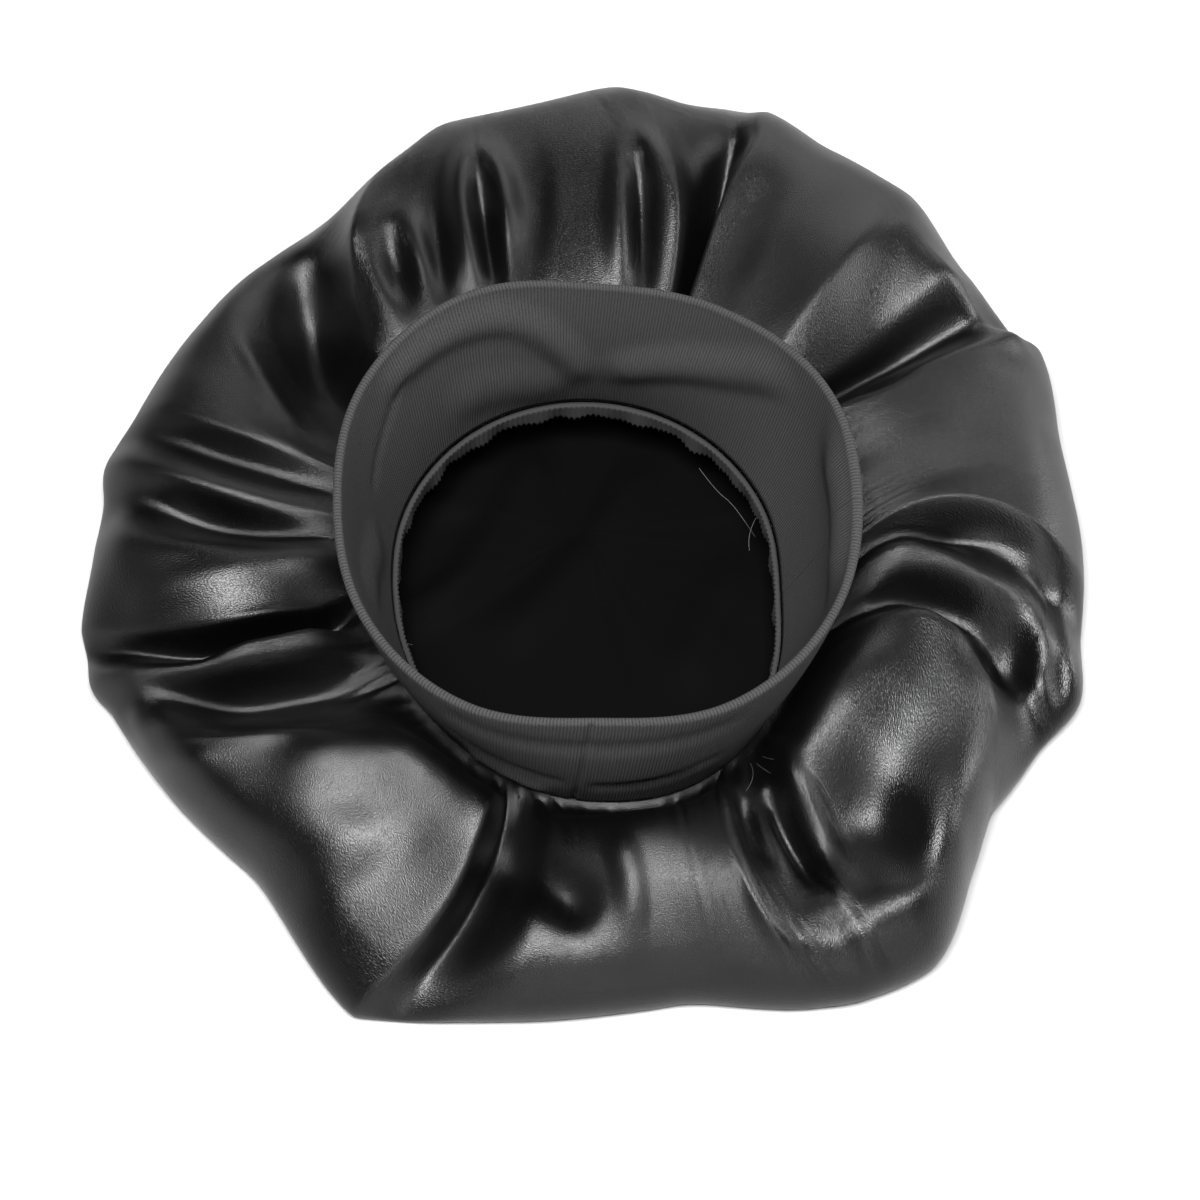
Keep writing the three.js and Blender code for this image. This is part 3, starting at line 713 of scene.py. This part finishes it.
# %% Seam allowance
SERGE_HEIGHT = 7
SERGE_WALL = 1.6
SERGE_COLUMNS = 720
SERGE_ROWS = 6
angle = np.arange(SERGE_COLUMNS) * 360 / SERGE_COLUMNS
turn = np.radians(angle)
line = neck_line(angle)
out = np.column_stack([direction(angle), np.zeros_like(angle)])
inset = CROWN_CLOTH + SEAM_GAP
# in millimetres: the edge sways in and out, droops unevenly and bristles with the overlocking's loops
sway = 0.55 * np.sin(23 * turn) + 0.385 * np.sin(41 * turn + 1)
droop = 0.9 * np.cos(17 * turn + 2) + 0.5 * np.cos(31 * turn)
bristle = np.where(np.arange(SERGE_COLUMNS) % 3 == 0, 0.45, -0.1)


def serge_ring(depth, below):
    """A ring of the seam, depth in from its outer side and below the sewn line."""
    hang = below / SERGE_HEIGHT
    ring = line + out * (sway * hang - inset - depth - bristle * (depth > 0))[:, None]
    ring[:, 2] -= SEAM_GAP + below + (droop + bristle) * hang
    return ring


rings = [serge_ring(SERGE_WALL, SERGE_HEIGHT * (1 - row / SERGE_ROWS)) for row in range(SERGE_ROWS + 1)]
rings += [serge_ring(0, SERGE_HEIGHT * row / SERGE_ROWS) for row in range(SERGE_ROWS + 1)]
seam = mesh_piece("overlocked_seam", np.concatenate(rings), tube_faces(len(rings), SERGE_COLUMNS))
seam.data.materials.append(bpy.data.materials.new("overlock thread"))
print("seam faces:", len(seam.data.polygons))

# %% [markdown]
# ## Loose threads
# A few thread ends were left at the seam: three lie on the satin in front and four curl inside.

# %% Thread ends
THREAD = 0.16  # radius in millimetres
# places in millimetres; the height is kept above the cloth where the thread lies on it
LYING_THREADS = [
    ((59, -98), (63, -105), (70, -107), (76, -112), (80, -118)),
    ((57, -100), (61, -109), (68, -113), (71, -119)),
    ((55, -99), (57, -106), (53, -112)),
]
CURLED_THREADS = [
    ((-69, -38, 19), (-65, -41, 15), (-61, -39, 11), (-63, -35, 8)),
    ((-69, -42, 19), (-63, -45, 16), (-62, -50, 12), (-58, -49, 9)),
    ((40, 16, 18), (46, 9, 14), (51, 6, 12), (57, -2, 9), (59, -8, 12)),
    ((61, -2, 19), (56, -6, 14), (57, -13, 11)),
]


def on_cloth(x, y):
    """A place just above the crown's cloth."""
    hit, place, _, _ = crown.ray_cast(Vector((x, y, 200)) * MM, Vector((0, 0, -1)))
    return (x, y, place.z / MM + 1.5 * THREAD) if hit else (x, y, NECK_HEIGHT)


def thread_end(name, places):
    """A round thread through places, turned into a mesh."""
    curve = bpy.data.curves.new(name, "CURVE")
    curve.dimensions = "3D"
    curve.bevel_depth = THREAD * MM
    curve.bevel_resolution = 2
    spline = curve.splines.new("NURBS")
    spline.points.add(len(places) - 1)
    for point, place in zip(spline.points, places):
        point.co = (*(Vector(place) * MM), 1)
    spline.use_endpoint_u = True
    spline.order_u = 3
    spline.resolution_u = 8
    thread = bpy.data.objects.new(name, curve)
    bpy.context.collection.objects.link(thread)
    bpy.ops.object.select_all(action="DESELECT")
    thread.select_set(True)
    bpy.context.view_layer.objects.active = thread
    bpy.ops.object.convert(target="MESH")
    return bpy.context.object


ends = [thread_end("thread_end", [on_cloth(x, y) for x, y in path]) for path in LYING_THREADS]
ends += [thread_end("thread_end", path) for path in CURLED_THREADS]
bpy.ops.object.select_all(action="DESELECT")
for end in ends:
    end.select_set(True)
threads = ends[0]
bpy.context.view_layer.objects.active = threads
bpy.ops.object.join()
threads.name = "loose_threads"
bpy.ops.object.shade_smooth()
threads.data.materials.clear()
threads.data.materials.append(bpy.data.materials.new("loose thread"))
print("thread ends:", len(ends))

# %% [markdown]
# ## Cloth finishes
# Satin floats its threads on the face, so it mirrors light softly and most strongly across the threads.
# The knit scatters light and shows fine ribs.

# %% What the materials share
def shader_of(name):
    """The shader of a material, with its nodes and links."""
    material = bpy.data.materials[name]
    material.use_nodes = True
    nodes, links = material.node_tree.nodes, material.node_tree.links
    return nodes["Principled BSDF"], nodes, links


def cut_map(nodes):
    """Where each point lies on the flat cloth, in metres."""
    flat = nodes.new("ShaderNodeUVMap")
    flat.uv_map = "cut"
    return flat.outputs["UV"]


# %% Satin
cloth, nodes, links = shader_of("black satin")
cloth.inputs["Base Color"].default_value = (0.002, 0.002, 0.0022, 1)
cloth.inputs["Roughness"].default_value = 0.36
cloth.inputs["Specular IOR Level"].default_value = 0.45
cloth.inputs["Anisotropic"].default_value = 0.5

# the floats run along u, so light spreads across them
tangent = nodes.new("ShaderNodeTangent")
tangent.direction_type = "UV_MAP"
tangent.uv_map = "cut"
links.new(tangent.outputs["Tangent"], cloth.inputs["Tangent"])

# the weave's grain: uneven floats about 0.9 millimetres long and 0.4 wide
stretch = nodes.new("ShaderNodeMapping")
stretch.inputs["Scale"].default_value = (1100, 2600, 1)
links.new(cut_map(nodes), stretch.inputs["Vector"])
grain = nodes.new("ShaderNodeTexNoise")
grain.inputs["Scale"].default_value = 1
grain.inputs["Detail"].default_value = 2
links.new(stretch.outputs["Vector"], grain.inputs["Vector"])
bump = nodes.new("ShaderNodeBump")
bump.inputs["Strength"].default_value = 0.5
bump.inputs["Distance"].default_value = 0.0004
links.new(grain.outputs["Fac"], bump.inputs["Height"])
links.new(bump.outputs["Normal"], cloth.inputs["Normal"])

cloth, nodes, links = shader_of("satin wrong side")
cloth.inputs["Base Color"].default_value = (0.0006, 0.0006, 0.00065, 1)
cloth.inputs["Roughness"].default_value = 0.8
cloth.inputs["Specular IOR Level"].default_value = 0.08

# %% Knit
cloth, nodes, links = shader_of("rib knit")
cloth.inputs["Roughness"].default_value = 0.95
cloth.inputs["Specular IOR Level"].default_value = 0.2

# ribs 1.1 millimetres apart run up the band, and the yarn varies a little along them
flat = cut_map(nodes)
ribs = nodes.new("ShaderNodeTexWave")
ribs.wave_type = "BANDS"
ribs.bands_direction = "X"
ribs.inputs["Scale"].default_value = 286
ribs.inputs["Distortion"].default_value = 0.6
ribs.inputs["Detail"].default_value = 1
links.new(flat, ribs.inputs["Vector"])
yarn = nodes.new("ShaderNodeTexNoise")
yarn.inputs["Scale"].default_value = 1500
yarn.inputs["Detail"].default_value = 2
links.new(flat, yarn.inputs["Vector"])
both = nodes.new("ShaderNodeMath")
both.operation = "ADD"
links.new(ribs.outputs["Fac"], both.inputs[0])
links.new(yarn.outputs["Fac"], both.inputs[1])
bump = nodes.new("ShaderNodeBump")
bump.inputs["Strength"].default_value = 0.6
bump.inputs["Distance"].default_value = 0.0004
links.new(both.outputs["Value"], bump.inputs["Height"])
links.new(bump.outputs["Normal"], cloth.inputs["Normal"])
# painted shade: the grooves between the ribs are coloured darker, and the yarn's tone also varies at
# random
shade = nodes.new("ShaderNodeValToRGB")
shade.color_ramp.elements[0].position = 0.5
shade.color_ramp.elements[0].color = (0.02, 0.02, 0.0205, 1)
shade.color_ramp.elements[1].position = 0.9
shade.color_ramp.elements[1].color = (0.038, 0.038, 0.039, 1)
links.new(both.outputs["Value"], shade.inputs["Fac"])
links.new(shade.outputs["Color"], cloth.inputs["Base Color"])

# %% Threads
cloth, nodes, links = shader_of("overlock thread")
cloth.inputs["Base Color"].default_value = (0.02, 0.02, 0.021, 1)
cloth.inputs["Roughness"].default_value = 0.9

cloth, nodes, links = shader_of("loose thread")
cloth.inputs["Base Color"].default_value = (0.03, 0.03, 0.031, 1)
cloth.inputs["Roughness"].default_value = 0.6
print("materials:", [material.name for material in bpy.data.materials])

# %% [markdown]
# ## Hand over
# Every piece rides on the one body, and the crown, band and seam stand for their imported solids, which
# are hidden.

for piece, node, finish in [
    (crown, "crown", "satin"),
    (band, "band", "knit"),
    (seam, "seam_allowance", "overlock_thread"),
]:
    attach(piece, "root")
    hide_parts(node)
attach(threads, "root")
